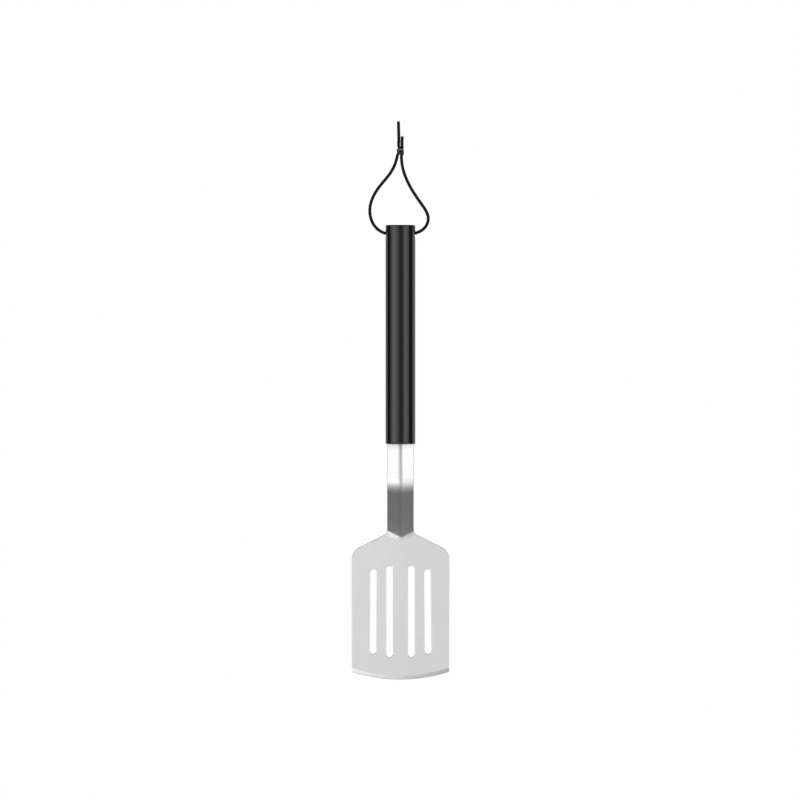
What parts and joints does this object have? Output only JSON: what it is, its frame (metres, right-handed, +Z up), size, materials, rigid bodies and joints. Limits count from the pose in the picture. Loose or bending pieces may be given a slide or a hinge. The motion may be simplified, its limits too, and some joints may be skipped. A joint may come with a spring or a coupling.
{
  "type": "grill spatula",
  "caption": "Long slotted grill spatula: black tubular handle with a knotted hanging cord, folded steel shank and a flat set-back blade.",
  "frame": {"origin": "centre of the handle's top end", "axes": "+Z up along the handle away from the blade, -Y towards the side that faces up in use, +X across the blade through the cord holes"},
  "size_m": [0.0916, 0.0461, 0.5211],
  "materials": {
    "handle_coating": "black powder coat, satin, fine orange peel",
    "black_plastic": "moulded black, fine matt texture",
    "steel": "stainless steel, fine satin",
    "cord": "black waxed twisted cord"
  },
  "bodies": {
    "handle": {"handle_tube": "handle_coating", "top_cap": "black_plastic", "tang_shell_front": "black_plastic", "tang_shell_rear": "black_plastic", "tang_pin": "steel", "blade": "steel"},
    "cord": {"hang_cord": "cord"}
  },
  "joints": [
    {"name": "cord_swing", "type": "hinge", "parent": "handle", "child": "cord", "pos_m": [0, 0, -0.0082], "axis": [1, 0, 0], "range_deg": [-160, 160]}
  ]
}
